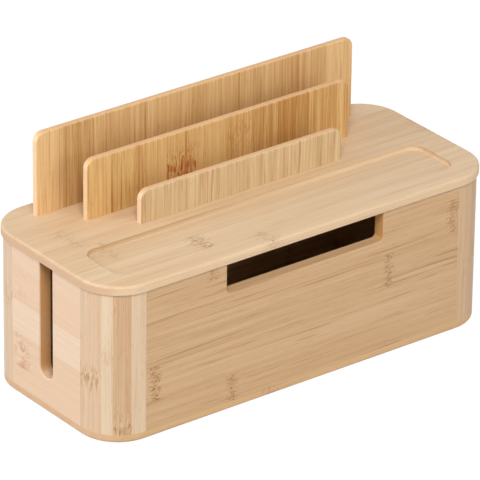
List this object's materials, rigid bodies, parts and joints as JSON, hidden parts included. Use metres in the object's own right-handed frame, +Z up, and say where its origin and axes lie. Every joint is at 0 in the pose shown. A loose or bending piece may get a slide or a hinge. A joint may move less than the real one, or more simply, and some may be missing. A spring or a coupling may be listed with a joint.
{
  "type": "cable management box",
  "caption": "Rounded bamboo box that hides a power strip, with cable slots in its walls, and a loose lid with a shallow tray and upright dividers for devices.",
  "frame": {"origin": "centre of the underside, on the surface that the feet stand on", "axes": "+X along the box, to the right seen from the front, -Y out of the front with the wide cable opening, +Z up"},
  "size_m": [0.33, 0.142, 0.1783],
  "materials": {
    "bamboo_panels": "satin lacquered laminated bamboo, grain along the panel",
    "bamboo_posts": "satin lacquered laminated bamboo, upright grain",
    "bamboo_lid": "satin lacquered laminated bamboo, grain along the lid",
    "bamboo_dividers": "satin lacquered laminated bamboo, upright grain",
    "bamboo_base": "satin lacquered laminated bamboo",
    "bamboo_blocks": "plain sanded bamboo",
    "screw_steel": "zinc plated",
    "foot_rubber": "soft matt silicone"
  },
  "bodies": {
    "box": {"base_board": "bamboo_base", "base_screws": "screw_steel", "front_panel": "bamboo_panels", "back_panel": "bamboo_panels", "left_end_panel": "bamboo_panels", "right_end_panel": "bamboo_panels", "corner_post_front_left": "bamboo_posts", "corner_post_front_right": "bamboo_posts", "corner_post_rear_left": "bamboo_posts", "corner_post_rear_right": "bamboo_posts", "foot_front_left": "foot_rubber", "foot_front_right": "foot_rubber", "foot_rear_left": "foot_rubber", "foot_rear_right": "foot_rubber"},
    "lid": {"lid_board": "bamboo_lid", "front_divider": "bamboo_dividers", "middle_divider": "bamboo_dividers", "rear_divider": "bamboo_dividers", "divider_screws": "screw_steel", "lid_block_front_left": "bamboo_blocks", "lid_block_front_right": "bamboo_blocks", "lid_block_rear_left": "bamboo_blocks", "lid_block_rear_right": "bamboo_blocks"}
  },
  "joints": [
    {"name": "lid_lift", "type": "slide", "parent": "box", "child": "lid", "axis": [0, 0, 1], "range_m": [0, 0.15]}
  ]
}
